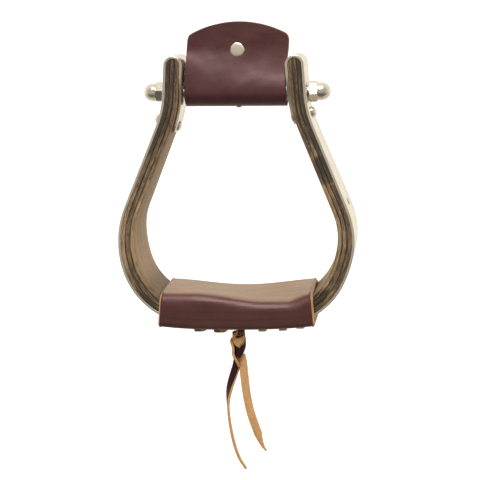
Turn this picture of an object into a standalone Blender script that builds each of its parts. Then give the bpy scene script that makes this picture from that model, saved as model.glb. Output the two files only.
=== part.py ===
"""Western stirrup: a bent laminated wood bow bound in metal, hung on a bolt between its two legs.

Metres, +Z up. The origin is the middle of the bolt, X runs along the bolt and -Y is the front.
"""

from math import cos, pi, radians, sin, sqrt

import bmesh
import bpy
from mathutils import Matrix, Vector

MM = 0.001
GAP = 0.3 * MM  # left between pieces that touch

# The bow's outer outline, from the middle of its bottom up one leg: a flat, two arcs that turn inwards,
# a straight flare, an arc that turns back out, and a leg that leans in a little.
BOTTOM_Z = -162.5 * MM
FLAT_HALF = 29.6 * MM
CORNER_RADIUS = 53.0 * MM
CORNER_TURN = radians(70.5)
BELLY_RADIUS = 68.0 * MM
FLARE = radians(22.5)
FLARE_LENGTH = 60.5 * MM
NECK_RADIUS = 70.0 * MM
LEG_LEAN = radians(3.9)
LEG_TOP_Z = 25.8 * MM

# Thickness and width of the bow.
BINDING = 1.9 * MM
WOOD_LOW = 10.3 * MM
WOOD_HIGH = 8.7 * MM
WOOD_TAPER_Z = (-118 * MM, -80 * MM)
WIDTH_LOW = 44.6 * MM
WIDTH_HIGH = 32.1 * MM
WIDTH_TAPER_Z = (-125 * MM, 0.0)
PLIES = 3
SIDE_PLY_TIPS = (0.3, 0.55, 0.75, 0.88)  # stations in a leg's rounded top, as shares of its radius
MIDDLE_PLY_TIPS = (0.93,)
BINDING_END_Z = {-1: -25.4 * MM, 1: -19.2 * MM}  # where its inner legs end, on its outer line
BINDING_TIP = (1.0, 0.92, 0.7, 0.4)  # its width at the last stations, as shares of the leg's

# The right corner is bent a little tighter than the left one: how far it is tucked in, and where.
TUCK = 1.8 * MM
TUCK_X = (20 * MM, 55 * MM)
TUCK_Z = (-132 * MM, -98 * MM)

# Bolt, spacer and cap nuts.
BOLT_RADIUS = 4.0 * MM
BOLT_HALF = 60.0 * MM
BORE_CLEARANCE = 0.3 * MM
SPACER_RADIUS = 6.35 * MM
SPACER_HALF = 36.0 * MM
NUT_FLATS = 13.0 * MM
NUT_HEX_HEIGHT = 6.5 * MM
NUT_HEIGHT = 15.0 * MM
NUT_DOME_RADIUS = 6.2 * MM
NUT_BORE_DEPTH = 11.0 * MM
NUT_TURN = radians(11)
NUT_SEAT = 50.7 * MM  # distance of a nut's face from the middle

# Rivets and nails.
RIVET_Z = {-1: -19.4 * MM, 1: -14.4 * MM}  # left and right
RIVET_HEAD_RADIUS = 4.0 * MM
RIVET_HEAD_HEIGHT = 1.9 * MM  # on the inner side
RIVET_OUTER_HEIGHT = 3.9 * MM
RIVET_SHANK_RADIUS = 1.8 * MM
NAIL_Z = -77.0 * MM
NAIL_HEAD_RADIUS = 2.6 * MM
NAIL_HEAD_HEIGHT = 0.9 * MM
NAIL_SHANK_RADIUS = 0.9 * MM
NAIL_LENGTH = 8.5 * MM

# Leather round the bolt, and its flap.
COVER_LEATHER = 3.0 * MM
COVER_INNER_RADIUS = 6.65 * MM
COVER_HALF = 35.5 * MM
FLAP_SHOULDER_HALF = 34.9 * MM
FLAP_SHOULDER_Z = 38.9 * MM
FLAP_TOP_Z = 48.5 * MM
FLAP_CORNER = 2.5 * MM
FLAP_JOIN_Z = 27.0 * MM  # where the two layers meet
FLAP_RIVET = (1.5 * MM, 29.2 * MM)
FLAP_RIVET_CAP_RADIUS = 5.1 * MM
FLAP_RIVET_BASE_RADIUS = 4.6 * MM
FLAP_RIVET_PLATE = 1.1 * MM
TACK_X = 1.5 * MM

# Leather round the tread, and its lacing.
TREAD_LEATHER = 2.8 * MM
TREAD_HALF_LENGTH = 53.0 * MM
TREAD_HALF_DEPTH = 25.4 * MM
TREAD_CORNER = 3.9 * MM
TREAD_TOP_MIDDLE = -144.0 * MM
TREAD_TOP_RISE = 5.4 * MM
TREAD_RIGHT_RISE = 1.6 * MM  # more than that at the right end
TREAD_FLAT_SHARE = 0.2  # the middle of the tread is flat to this share of its half length
TREAD_BOTTOM_MIDDLE = -165.8 * MM
TREAD_BOTTOM_RISE = 1.5 * MM
SEAM_Y = -12.0 * MM
SEAM_HALF_GAP = 0.6 * MM
STITCHES_X = (-26.5 * MM, -12.0 * MM, 17.5 * MM, 32.0 * MM, 45.0 * MM)
STITCH_WIDTH = 5.7 * MM
STITCH_REACH = 7.5 * MM
THONG_THICKNESS = 2.0 * MM

# The tassel, which swings under the seam.
LOOP_BOTTOM_Z = -169.7 * MM
TASSEL_AXIS_Z = -169.9 * MM
KNOT_TOP_Z = -171.2 * MM
KNOT_PROFILE = ((3.4, 0.7), (5.1, 3.8), (5.4, 8.8), (4.7, 14.3), (4.3, 19.3))  # radius and depth, mm
KNOT_HEIGHT = 19.6 * MM
TAIL_RADIUS = 2.0 * MM
TAIL_STEP = 4.5 * MM
# The hand-laid routes of the two tails, as X, Y, Z in millimetres.
TAIL_LEFT = ((-3.0, -12, -191.4), (-4.6, -12.4, -202), (-7.1, -13.0, -213.5), (-8.1, -13.4, -224),
             (-7.5, -13.6, -233), (-6.0, -13.8, -243), (-4.0, -13.8, -252), (-1.6, -13.7, -260),
             (1.6, -13.5, -267.5), (4.2, -13.3, -272.3))
TAIL_RIGHT = ((1.8, -12, -191.4), (3.2, -12.0, -200), (4.5, -11.8, -210), (6.1, -11.6, -221),
              (8.2, -11.4, -231), (11.2, -11.2, -241.5), (14.4, -11.0, -250.5), (18.4, -10.8, -258.4))

ROUND = 24  # sides of a round piece

WOOD = (0.22, 0.16, 0.10, 1)
WOOD_DARK = (0.15, 0.11, 0.07, 1)
METAL = (0.80, 0.76, 0.68, 1)
STEEL = (0.45, 0.43, 0.40, 1)
MAROON = (0.10, 0.035, 0.03, 1)
THONG = (0.50, 0.28, 0.11, 1)


def clear_scene():
    for obj in list(bpy.data.objects):
        bpy.data.objects.remove(obj, do_unlink=True)


def material(name, colour, roughness, metallic=0.0):
    made = bpy.data.materials.new(name)
    made.use_nodes = True
    shader = made.node_tree.nodes["Principled BSDF"]
    shader.inputs["Base Color"].default_value = colour
    shader.inputs["Roughness"].default_value = roughness
    shader.inputs["Metallic"].default_value = metallic
    return made


def add_object(name, bm, made_material=None, smooth=False, parent=None):
    """Turns a bmesh into a named object whose faces point out."""
    bmesh.ops.remove_doubles(bm, verts=bm.verts, dist=1e-7)
    bmesh.ops.recalc_face_normals(bm, faces=bm.faces)
    mesh = bpy.data.meshes.new(name)
    bm.to_mesh(mesh)
    bm.free()
    obj = bpy.data.objects.new(name, mesh)
    bpy.context.scene.collection.objects.link(obj)
    if made_material:
        mesh.materials.append(made_material)
    if smooth:
        mesh.shade_smooth()
        mesh.set_sharp_from_angle(angle=radians(35))
    if parent:
        place_under(obj, parent)
    return obj


def place_under(obj, parent):
    """Parents an object whose mesh is in world coordinates, so that its origin is the parent's."""
    obj.data.transform(Matrix.Translation(-parent.location))
    obj.parent = parent


def add_empty(name, location):
    empty = bpy.data.objects.new(name, None)
    empty.location = location
    bpy.context.scene.collection.objects.link(empty)
    return empty


def loft(bm, rings, closed_tube=False):
    """Skins rings of equal count, or single points, into a closed surface."""
    made = [[bm.verts.new(p) for p in ring] for ring in rings]
    pairs = list(zip(made, made[1:]))
    if closed_tube:
        pairs.append((made[-1], made[0]))
    for low, high in pairs:
        for k in range(max(len(low), len(high))):
            n = max(len(low), len(high))
            corners = [low[k % len(low)], low[(k + 1) % n % len(low)],
                       high[(k + 1) % n % len(high)], high[k % len(high)]]
            unique = list(dict.fromkeys(corners))
            if len(unique) > 2:
                bm.faces.new(unique)
    if not closed_tube:
        for end in (made[0], made[-1]):
            if len(end) > 2:
                bm.faces.new(end)
    return bm


def lathe(bm, profile, origin, axis, sides=ROUND, closed_tube=False, turn=0.0):
    """Turns (radius, distance) pairs about an axis from origin. A hexagon ring has a negative radius,
    which is half the distance across its flats."""
    axis = Vector(axis).normalized()
    side = axis.orthogonal().normalized()
    up = axis.cross(side)
    rings = []
    for radius, along in profile:
        centre = Vector(origin) + axis * along
        if radius == 0:
            rings.append([centre])
            continue
        ring = []
        for k in range(sides):
            angle = 2 * pi * k / sides
            reach = radius
            if radius < 0:
                reach = -radius / cos((angle + pi / 6) % (pi / 3) - pi / 6)
            around = side * cos(angle + turn) + up * sin(angle + turn)
            ring.append(centre + around * reach)
        rings.append(ring)
    return loft(bm, rings, closed_tube)


def smooth_step(value, low, high):
    share = min(1.0, max(0.0, (value - low) / (high - low)))
    return share * share * (3 - 2 * share)


def wood_thickness(z):
    return WOOD_LOW + (WOOD_HIGH - WOOD_LOW) * smooth_step(z, *WOOD_TAPER_Z)


def half_width(z):
    return 0.5 * (WIDTH_LOW + (WIDTH_HIGH - WIDTH_LOW) * smooth_step(z, *WIDTH_TAPER_Z))


def right_outline():
    """Stations (point, direction angle) of the bow's outer face, from the bottom's middle up the right leg
    to where its rounded top starts."""
    stations = [(Vector((x, BOTTOM_Z)), 0.0) for x in (0.0, FLAT_HALF / 2, FLAT_HALF)]

    def arc(radius, turn, steps):
        start, angle = stations[-1]
        centre = start + Vector((-sin(angle), cos(angle))) * radius
        for k in range(1, steps + 1):
            now = angle + turn * k / steps
            stations.append((centre + Vector((sin(now), -cos(now))) * radius, now))

    def line(length, steps):
        start, angle = stations[-1]
        for k in range(1, steps + 1):
            stations.append((start + Vector((cos(angle), sin(angle))) * length * k / steps, angle))

    arc(CORNER_RADIUS, CORNER_TURN, 10)
    arc(BELLY_RADIUS, pi / 2 + FLARE - CORNER_TURN, 6)
    line(FLARE_LENGTH, 3)
    arc(-NECK_RADIUS, LEG_LEAN - FLARE, 5)
    start, angle = stations[-1]
    line((top_centre_z() - top_radius() * cos(angle) - start.y) / sin(angle), 3)
    return stations


def top_radius():
    """Outer radius of the binding where it passes over a leg's rounded top."""
    return BINDING + GAP + WOOD_HIGH / 2


def top_centre_z():
    return LEG_TOP_Z - top_radius()


def inward(angle):
    return Vector((-sin(angle), cos(angle)))


def along(angle):
    return Vector((cos(angle), sin(angle)))


def tucked(p):
    pull = TUCK * smooth_step(p.x, *TUCK_X) * (1 - smooth_step(p.z, *TUCK_Z))
    return Vector((p.x - pull, p.y, p.z))


def both_halves(right, left=None):
    """The bow from the left top round to the right top. Each half's sections start at the bottom's middle
    and run up the right side, and the left half's are mirrored. Without its own, it takes the right's."""
    mirrored = [[Vector((-p.x, p.y, p.z)) for p in section] for section in reversed((left or right)[1:])]
    return mirrored + [[tucked(p) for p in section] for section in right]


def section(outer, inner, half):
    """The four corners of a flat cross-section whose outer and inner points are (x, z)."""
    return [Vector((outer.x, -half, outer.y)), Vector((outer.x, half, outer.y)),
            Vector((inner.x, half, inner.y)), Vector((inner.x, -half, inner.y))]


def ply_sections(index):
    """Sections of one ply of the wood, 0 being the outermost. Its ends follow the legs' rounded tops."""
    sections = []
    for point, angle in right_outline():
        step = wood_thickness(point.y) / PLIES
        first = BINDING + GAP + step * index + (GAP / 2 if index else 0)
        last = BINDING + GAP + step * (index + 1) - (GAP / 2 if index < PLIES - 1 else 0)
        sections.append(section(point + inward(angle) * first, point + inward(angle) * last,
                                half_width(point.y)))
    radius = WOOD_HIGH / 2
    middle = BINDING + GAP + radius
    for share in SIDE_PLY_TIPS if index in (0, PLIES - 1) else MIDDLE_PLY_TIPS:
        rise = radius * share
        reach = sqrt(radius * radius - rise * rise)
        low = max(first, middle - reach)
        high = min(last, middle + reach)
        base = point + along(angle) * rise
        sections.append(section(base + inward(angle) * low, base + inward(angle) * high,
                                half_width(base.y)))
    return both_halves(sections)


def binding_sections(end_z):
    """One half of the binding: up the outside, over the leg's top, and down inside it to below the rivet."""
    outline = right_outline()
    sections = []
    for point, angle in outline:
        sections.append(section(point, point + inward(angle) * BINDING, half_width(point.y)))
    top, lean = outline[-1]
    radius = top_radius()
    centre = top + inward(lean) * radius
    steps = 10
    for k in range(1, steps):
        turn = lean - pi / 2 + pi * k / steps
        out = Vector((cos(turn), sin(turn)))
        sections.append(section(centre + out * radius, centre + out * (radius - BINDING),
                                half_width(0)))
    inner = [s for s in reversed(outline) if s[0].y > end_z + 2 * MM]
    point, angle = inner[-1]
    step = (point.y - end_z) / sin(angle) / (len(BINDING_TIP) - 1)
    tip = [(point - along(angle) * step * k, angle) for k in range(1, len(BINDING_TIP))]
    shares = [1.0] * (len(inner) - 1) + list(BINDING_TIP)
    for (point, angle), share in zip(inner + tip, shares):
        face = BINDING + 2 * GAP + wood_thickness(point.y)
        sections.append(section(point + inward(angle) * (face + BINDING),
                                point + inward(angle) * face, half_width(point.y) * share))
    return sections


def bow_frame(z):
    """(point, direction angle) on the right leg's outer face at height z."""
    outline = right_outline()
    for (a, angle_a), (b, angle_b) in zip(outline, outline[1:]):
        if a.y <= z <= b.y and b.y > a.y:
            share = (z - a.y) / (b.y - a.y)
            return a.lerp(b, share), angle_a + (angle_b - angle_a) * share
    raise ValueError("height off the leg")


def across_leg(z, side):
    """A point on the outer face at height z and the direction into the leg, as 3D vectors."""
    point, angle = bow_frame(z)
    inwards = inward(angle)
    return Vector((side * point.x, 0, point.y)), Vector((side * inwards.x, 0, inwards.y))


def leg_depth():
    """Distance through a leg at the rivets, from the binding's outer face to its inner one."""
    return 2 * BINDING + 2 * GAP + WOOD_HIGH


def make_bores():
    """One cutter that holds the bolt's, the leg rivets' and the nails' bores."""
    bm = bmesh.new()
    clear = BORE_CLEARANCE
    reach = 70 * MM
    lathe(bm, [(0, 0), (BOLT_RADIUS + clear, 0), (BOLT_RADIUS + clear, 2 * reach), (0, 2 * reach)],
          (-reach, 0, 0), (1, 0, 0))
    for side in (-1, 1):
        start, axis = across_leg(RIVET_Z[side], side)
        radius = RIVET_SHANK_RADIUS + clear
        lathe(bm, [(0, -3 * MM), (radius, -3 * MM), (radius, 17 * MM), (0, 17 * MM)], start, axis, 12)
        start, axis = across_leg(NAIL_Z, side)
        radius = NAIL_SHANK_RADIUS + clear
        lathe(bm, [(0, -3 * MM), (radius, -3 * MM), (radius, NAIL_LENGTH + GAP),
                   (0, NAIL_LENGTH + GAP)], start, axis, 10)
    return helper("fastener_bores", bm)


def helper(name, bm):
    """A solid that only cuts others."""
    cutter = add_object(name, bm)
    cutter.hide_render = True
    cutter.display_type = "WIRE"
    return cutter


def cut(obj, cutter, operation="DIFFERENCE"):
    boolean = obj.modifiers.new("cut", "BOOLEAN")
    boolean.object = cutter
    boolean.operation = operation
    boolean.solver = "EXACT"


def make_bow(bores):
    names = ("outer_ply", "middle_ply", "inner_ply")
    looks = (material("outer_wood", WOOD_DARK, 0.6), material("middle_wood", WOOD, 0.6),
             material("inner_wood", WOOD, 0.55))
    for index, (name, look) in enumerate(zip(names, looks)):
        ply = add_object(name, loft(bmesh.new(), ply_sections(index)), look)
        cut(ply, bores)
    halves = both_halves(binding_sections(BINDING_END_Z[1]), binding_sections(BINDING_END_Z[-1]))
    binding = add_object("metal_binding", loft(bmesh.new(), halves),
                         material("polished_binding", METAL, 0.22, 1.0))
    cut(binding, bores)


def make_bolt():
    chamfer = 0.8 * MM
    bm = lathe(bmesh.new(), [(0, -BOLT_HALF), (BOLT_RADIUS - chamfer, -BOLT_HALF),
                             (BOLT_RADIUS, chamfer - BOLT_HALF), (BOLT_RADIUS, BOLT_HALF - chamfer),
                             (BOLT_RADIUS - chamfer, BOLT_HALF), (0, BOLT_HALF)], (0, 0, 0), (1, 0, 0))
    add_object("stirrup_bolt", bm, material("bolt_steel", STEEL, 0.35, 1.0), smooth=True)
    bore = BOLT_RADIUS + BORE_CLEARANCE
    bm = lathe(bmesh.new(), [(bore, -SPACER_HALF), (SPACER_RADIUS, -SPACER_HALF),
                             (SPACER_RADIUS, SPACER_HALF), (bore, SPACER_HALF)],
               (0, 0, 0), (1, 0, 0), closed_tube=True)
    add_object("spacer_tube", bm, material("spacer_steel", STEEL, 0.4, 1.0), smooth=True)


def make_cap_nuts():
    bore = BOLT_RADIUS + BORE_CLEARANCE
    flats = -NUT_FLATS / 2
    dome_start = NUT_HEIGHT - NUT_DOME_RADIUS
    profile = [(0, NUT_BORE_DEPTH), (bore, NUT_BORE_DEPTH), (bore, 0), (NUT_DOME_RADIUS, 0),
               (flats, 0.6 * MM), (flats, NUT_HEX_HEIGHT - 0.5 * MM), (NUT_DOME_RADIUS, NUT_HEX_HEIGHT)]
    for k in range(7):
        turn = pi / 2 * k / 7
        profile.append((NUT_DOME_RADIUS * cos(turn), dome_start + NUT_DOME_RADIUS * sin(turn)))
    profile.append((0, NUT_HEIGHT))
    look = material("polished_nut", METAL, 0.2, 1.0)
    for name, side in (("cap_nut_left", -1), ("cap_nut_right", 1)):
        bm = lathe(bmesh.new(), profile, (side * NUT_SEAT, 0, 0), (side, 0, 0), turn=side * NUT_TURN)
        add_object(name, bm, look, smooth=True)


def domed_head(radius, height, base, outwards, steps=4):
    """Profile points of a domed head, from its rim on the plane at base out to its middle."""
    points = []
    for k in range(steps):
        turn = pi / 2 * k / steps
        points.append((radius * cos(turn), base + outwards * height * sin(turn)))
    return points + [(0, base + outwards * height)]


def make_leg_rivets():
    look = material("rivet_metal", METAL, 0.25, 1.0)
    outer = -GAP
    inner = leg_depth() + GAP
    shank = RIVET_SHANK_RADIUS
    profile = list(reversed(domed_head(RIVET_HEAD_RADIUS, RIVET_OUTER_HEIGHT, outer, -1)))
    profile += [(shank, outer), (shank, inner)]
    profile += domed_head(RIVET_HEAD_RADIUS, RIVET_HEAD_HEIGHT, inner, 1)
    for name, side in (("leg_rivet_left", -1), ("leg_rivet_right", 1)):
        start, axis = across_leg(RIVET_Z[side], side)
        add_object(name, lathe(bmesh.new(), profile, start, axis, 16), look, smooth=True)


def make_binding_nails():
    look = material("nail_metal", METAL, 0.3, 1.0)
    base = -GAP
    shank = NAIL_SHANK_RADIUS
    profile = list(reversed(domed_head(NAIL_HEAD_RADIUS, NAIL_HEAD_HEIGHT, base, -1, 3)))
    profile += [(shank, base), (shank, NAIL_LENGTH - 2 * MM), (0, NAIL_LENGTH)]
    for name, side in (("binding_nail_left", -1), ("binding_nail_right", 1)):
        start, axis = across_leg(NAIL_Z, side)
        add_object(name, lathe(bmesh.new(), profile, start, axis, 12), look, smooth=True)


def bezier(a, b, c, d, t):
    s = 1 - t
    return a * s**3 + b * 3 * s * s * t + c * 3 * s * t * t + d * t**3


def cover_centre_line():
    """(point, normal) stations in (y, z) of the leather's middle layer: up from the spacer's front,
    against the back layer, and the same behind, joined round the underside."""
    radius = COVER_INNER_RADIUS + COVER_LEATHER / 2
    lift = radians(12)
    flat_y = -(GAP + COVER_LEATHER) / 2
    low = Vector((-cos(lift), sin(lift))) * radius
    high = Vector((flat_y, FLAP_JOIN_Z))
    handle = 9 * MM
    leave = Vector((sin(lift), cos(lift)))
    front = [Vector((flat_y, FLAP_TOP_Z + 2 * MM)), Vector((flat_y, FLAP_JOIN_Z + 6 * MM))]
    for k in range(8):
        front.append(bezier(high, high - Vector((0, handle)), low + leave * handle, low, k / 7))
    steps = 12
    under = []
    for k in range(1, steps):
        angle = pi - lift + (pi + 2 * lift) * k / steps
        under.append(Vector((cos(angle), sin(angle))) * radius)
    return front + under + [Vector((-p.x, p.y)) for p in reversed(front)]


def cover_outline():
    """The cover's outline seen from the front, as (x, z): a flap with a low arched top."""
    points = [(COVER_HALF, -12 * MM), (COVER_HALF, 0.0)]
    rise = FLAP_TOP_Z - FLAP_SHOULDER_Z
    radius = (FLAP_SHOULDER_HALF**2 + rise * rise) / (2 * rise)
    points.append((FLAP_SHOULDER_HALF, FLAP_SHOULDER_Z - FLAP_CORNER))
    points.append((FLAP_SHOULDER_HALF - FLAP_CORNER * 0.3, FLAP_SHOULDER_Z - FLAP_CORNER * 0.05))
    steps = 7
    for k in range(steps + 1):
        x = (FLAP_SHOULDER_HALF - FLAP_CORNER) * (1 - k / steps)
        points.append((x, FLAP_TOP_Z - radius + sqrt(radius * radius - x * x)))
    return points + [(-x, z) for x, z in reversed(points[:-1])]


def prism(outline, y_low, y_high):
    """A closed prism along Y over an outline of (x, z)."""
    return loft(bmesh.new(), [[Vector((x, y, z)) for x, z in outline] for y in (y_low, y_high)])


def make_bolt_cover():
    axle = add_empty("bolt_cover_axis", (0, 0, 0))
    line = cover_centre_line()
    outer, inner = [], []
    for k, point in enumerate(line):
        before = line[max(k - 1, 0)]
        after = line[min(k + 1, len(line) - 1)]
        heading = (after - before).normalized()
        out = Vector((heading.y, -heading.x)) * -1
        outer.append(point - out * COVER_LEATHER / 2)
        inner.append(point + out * COVER_LEATHER / 2)
    strip = outer + list(reversed(inner))
    rings = [[Vector((x, p.x, p.y)) for p in strip] for x in (-40 * MM, 40 * MM)]
    leather = add_object("bolt_cover_leather", loft(bmesh.new(), rings),
                         material("maroon_leather", MAROON, 0.5), parent=axle)
    cut(leather, helper("cover_outline", prism(cover_outline(), -15 * MM, 15 * MM)), "INTERSECT")
    x, z = FLAP_RIVET
    radius = 2.3 * MM
    bore = lathe(bmesh.new(), [(0, -8 * MM), (radius, -8 * MM), (radius, 8 * MM), (0, 8 * MM)],
                 (x, 0, z), (0, 1, 0), 12)
    radius = 1.1 * MM
    lathe(bore, [(0, 0), (radius, 0), (radius, 8 * MM), (0, 8 * MM)], (TACK_X, 0, -13 * MM),
          (0, 0, 1), 10)
    cut(leather, helper("cover_bores", bore))

    face = COVER_LEATHER + GAP / 2 + GAP
    plate = FLAP_RIVET_PLATE
    metal = material("cover_rivet_metal", METAL, 0.3, 1.0)
    cap = [(0, -face - plate), (FLAP_RIVET_CAP_RADIUS - 0.8 * MM, -face - plate),
           (FLAP_RIVET_CAP_RADIUS, -face - plate / 2), (FLAP_RIVET_CAP_RADIUS, -face),
           (1.1 * MM, -face), (1.1 * MM, 0), (0, 0)]
    add_object("cover_rivet_cap", lathe(bmesh.new(), cap, (x, 0, z), (0, 1, 0), 20), metal,
               smooth=True, parent=axle)
    post = [(0, face + plate), (FLAP_RIVET_BASE_RADIUS, face + plate), (FLAP_RIVET_BASE_RADIUS, face),
            (1.95 * MM, face), (1.95 * MM, GAP - face), (1.4 * MM, GAP - face), (1.4 * MM, 1 * MM),
            (0, 1 * MM)]
    add_object("cover_rivet_post", lathe(bmesh.new(), post, (x, 0, z), (0, 1, 0), 20), metal,
               smooth=True, parent=axle)
    base = -(COVER_INNER_RADIUS + COVER_LEATHER) - GAP
    tack = list(reversed(domed_head(1.9 * MM, 1.1 * MM, base, -1, 3)))
    tack += [(0.8 * MM, base), (0.8 * MM, base + 2.8 * MM), (0, base + 3.1 * MM)]
    add_object("cover_tack", lathe(bmesh.new(), tack, (TACK_X, 0, 0), (0, 0, 1), 10),
               material("tack_metal", STEEL, 0.4, 1.0), smooth=True, parent=axle)


def tread_section(top, bottom):
    """Outer and inner (y, z) outlines of the tread leather from one seam edge, round the front, the top
    and the back, to the other seam edge."""
    half = TREAD_LEATHER / 2
    middle_radius = TREAD_CORNER - half
    y = TREAD_HALF_DEPTH - half
    low, high = bottom + half, top - half
    line = [(Vector((SEAM_Y - SEAM_HALF_GAP, low)), Vector((0, -1)))]
    corners = ((-1, -1, 1.5 * pi), (-1, 1, pi), (1, 1, pi / 2), (1, -1, 0.0))
    steps = 4
    for side, level, start in corners:
        centre = Vector((side * (y - middle_radius), (low if level < 0 else high) - level * middle_radius))
        for k in range(steps + 1):
            angle = start - pi / 2 * k / steps
            out = Vector((cos(angle), sin(angle)))
            line.append((centre + out * middle_radius, out))
    line.append((Vector((SEAM_Y + SEAM_HALF_GAP, low)), Vector((0, -1))))
    outer = [point + out * half for point, out in line]
    inner = [point - out * half for point, out in line]
    return outer + list(reversed(inner))


def make_tread_cover():
    rings = []
    for share in (-1, -0.94, -0.86, -0.76, -0.64, -0.5, -0.34, -0.16, 0.16, 0.34, 0.5, 0.64, 0.76, 0.86,
                  0.94, 1):
        level = 0.0 if abs(share) < TREAD_FLAT_SHARE else abs(share)
        rise = TREAD_TOP_RISE + (TREAD_RIGHT_RISE if share > 0 else 0.0)
        top = TREAD_TOP_MIDDLE + rise * level**2
        bottom = TREAD_BOTTOM_MIDDLE + TREAD_BOTTOM_RISE * level**4
        x = share * TREAD_HALF_LENGTH
        rings.append([Vector((x, p.x, p.y)) for p in tread_section(top, bottom)])
    add_object("tread_cover_leather", loft(bmesh.new(), rings), material("tread_leather", MAROON, 0.5))


def make_lacing():
    look = material("lace_leather", THONG, 0.7)
    top = TREAD_BOTTOM_MIDDLE - GAP
    bevel = 0.6 * MM
    for number, x in enumerate(STITCHES_X, 1):
        level = abs(x) / TREAD_HALF_LENGTH
        z = top + TREAD_BOTTOM_RISE * max(0.0, level - TREAD_FLAT_SHARE) ** 4
        outline = [(-STITCH_WIDTH / 2, z), (STITCH_WIDTH / 2, z),
                   (STITCH_WIDTH / 2, z - THONG_THICKNESS + bevel),
                   (STITCH_WIDTH / 2 - bevel, z - THONG_THICKNESS),
                   (bevel - STITCH_WIDTH / 2, z - THONG_THICKNESS),
                   (-STITCH_WIDTH / 2, z - THONG_THICKNESS + bevel)]
        bm = prism([(x + dx, level_z) for dx, level_z in outline], SEAM_Y - STITCH_REACH,
                   SEAM_Y + STITCH_REACH)
        add_object(f"lace_stitch_{number}", bm, look)
    half = STITCH_WIDTH / 2
    outline = [(-half, top), (half, top), (half, LOOP_BOTTOM_Z + bevel), (half - bevel, LOOP_BOTTOM_Z),
               (bevel - half, LOOP_BOTTOM_Z), (-half, LOOP_BOTTOM_Z + bevel)]
    bm = prism(outline, SEAM_Y - THONG_THICKNESS / 2, SEAM_Y + THONG_THICKNESS / 2)
    add_object("lace_loop", bm, look)


def smooth_route(points):
    """Even points on a Catmull-Rom curve through the route's own points."""
    ends = [points[0] * 2 - points[1]] + points + [points[-1] * 2 - points[-2]]
    fine = []
    for a, b, c, d in zip(ends, ends[1:], ends[2:], ends[3:]):
        for k in range(12):
            t = k / 12
            fine.append(0.5 * (2 * b + (c - a) * t + (2 * a - 5 * b + 4 * c - d) * t * t
                               + (3 * b - a - 3 * c + d) * t**3))
    fine.append(points[-1])
    even = [fine[0]]
    for point in fine[1:-1]:
        if (point - even[-1]).length >= TAIL_STEP:
            even.append(point)
    return even + [fine[-1]]


def make_tassel():
    pivot = add_empty("tassel_axis", (0, SEAM_Y, TASSEL_AXIS_Z))
    look = material("tassel_leather", THONG, 0.7)
    profile = [(0, 0)] + [(r * MM, -depth * MM) for r, depth in KNOT_PROFILE] + [(0, -KNOT_HEIGHT)]
    bm = lathe(bmesh.new(), profile, (0, SEAM_Y, KNOT_TOP_Z), (0, 0, 1), 14)
    add_object("lace_knot", bm, look, smooth=True, parent=pivot)
    for name, route in (("lace_tail_left", TAIL_LEFT), ("lace_tail_right", TAIL_RIGHT)):
        points = smooth_route([Vector(p) * MM for p in route])
        curve = bpy.data.curves.new(name, "CURVE")
        curve.dimensions = "3D"
        curve.bevel_depth = TAIL_RADIUS
        curve.bevel_resolution = 2
        curve.use_fill_caps = True
        spline = curve.splines.new("POLY")
        spline.points.add(len(points) - 1)
        for target, point in zip(spline.points, points):
            target.co = (*(point - pivot.location), 1)
        curve.materials.append(look)
        tail = bpy.data.objects.new(name, curve)
        bpy.context.scene.collection.objects.link(tail)
        tail.parent = pivot


clear_scene()
make_bow(make_bores())
make_bolt()
make_cap_nuts()
make_leg_rivets()
make_binding_nails()
make_bolt_cover()
make_tread_cover()
make_lacing()
make_tassel()
bpy.context.view_layer.update()
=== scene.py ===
"""The looks of a Western stirrup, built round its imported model. Metres, +Z up, front at -Y."""

from math import cos, pi, radians, sin, sqrt

import bmesh
import bpy
from mathutils import Matrix, Vector, noise


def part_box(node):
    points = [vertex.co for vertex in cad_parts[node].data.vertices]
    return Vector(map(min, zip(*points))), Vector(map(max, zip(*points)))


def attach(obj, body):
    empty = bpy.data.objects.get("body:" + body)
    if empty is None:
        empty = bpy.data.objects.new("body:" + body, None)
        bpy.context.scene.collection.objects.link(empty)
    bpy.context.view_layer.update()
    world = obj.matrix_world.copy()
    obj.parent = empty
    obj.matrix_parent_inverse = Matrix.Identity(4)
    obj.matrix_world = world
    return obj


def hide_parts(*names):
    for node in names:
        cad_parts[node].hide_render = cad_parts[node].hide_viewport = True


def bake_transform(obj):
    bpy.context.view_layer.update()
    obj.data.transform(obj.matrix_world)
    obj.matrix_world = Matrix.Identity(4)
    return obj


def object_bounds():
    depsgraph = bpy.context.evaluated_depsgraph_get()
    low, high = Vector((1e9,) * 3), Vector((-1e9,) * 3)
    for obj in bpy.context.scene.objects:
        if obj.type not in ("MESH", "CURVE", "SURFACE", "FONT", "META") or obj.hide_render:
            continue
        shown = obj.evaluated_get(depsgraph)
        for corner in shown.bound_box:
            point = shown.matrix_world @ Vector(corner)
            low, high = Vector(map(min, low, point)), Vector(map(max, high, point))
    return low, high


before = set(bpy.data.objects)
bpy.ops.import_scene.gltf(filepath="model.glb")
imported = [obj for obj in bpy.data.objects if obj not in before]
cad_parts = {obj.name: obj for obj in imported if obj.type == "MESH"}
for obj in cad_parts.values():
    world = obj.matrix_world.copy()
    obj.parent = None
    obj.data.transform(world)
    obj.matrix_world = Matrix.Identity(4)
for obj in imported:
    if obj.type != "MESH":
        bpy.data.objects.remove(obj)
cad_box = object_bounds()

MM = 0.001
GAP = 0.3 * MM  # the solid model's clearance between neighbours
SEAT = 0.05 * MM  # the gap that is left here instead

# Camera: in front, a little to the right and above.
CAMERA_AZIMUTH = radians(8.05)
CAMERA_ELEVATION = radians(10.86)
CAMERA_ROLL = radians(-1.02)
CAMERA_DISTANCE = 0.948
CAMERA_TARGET = Vector((0.0005, 0.0, -0.1055))
CAMERA_LENS = 99.7
CAMERA_SENSOR = 36.0

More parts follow.
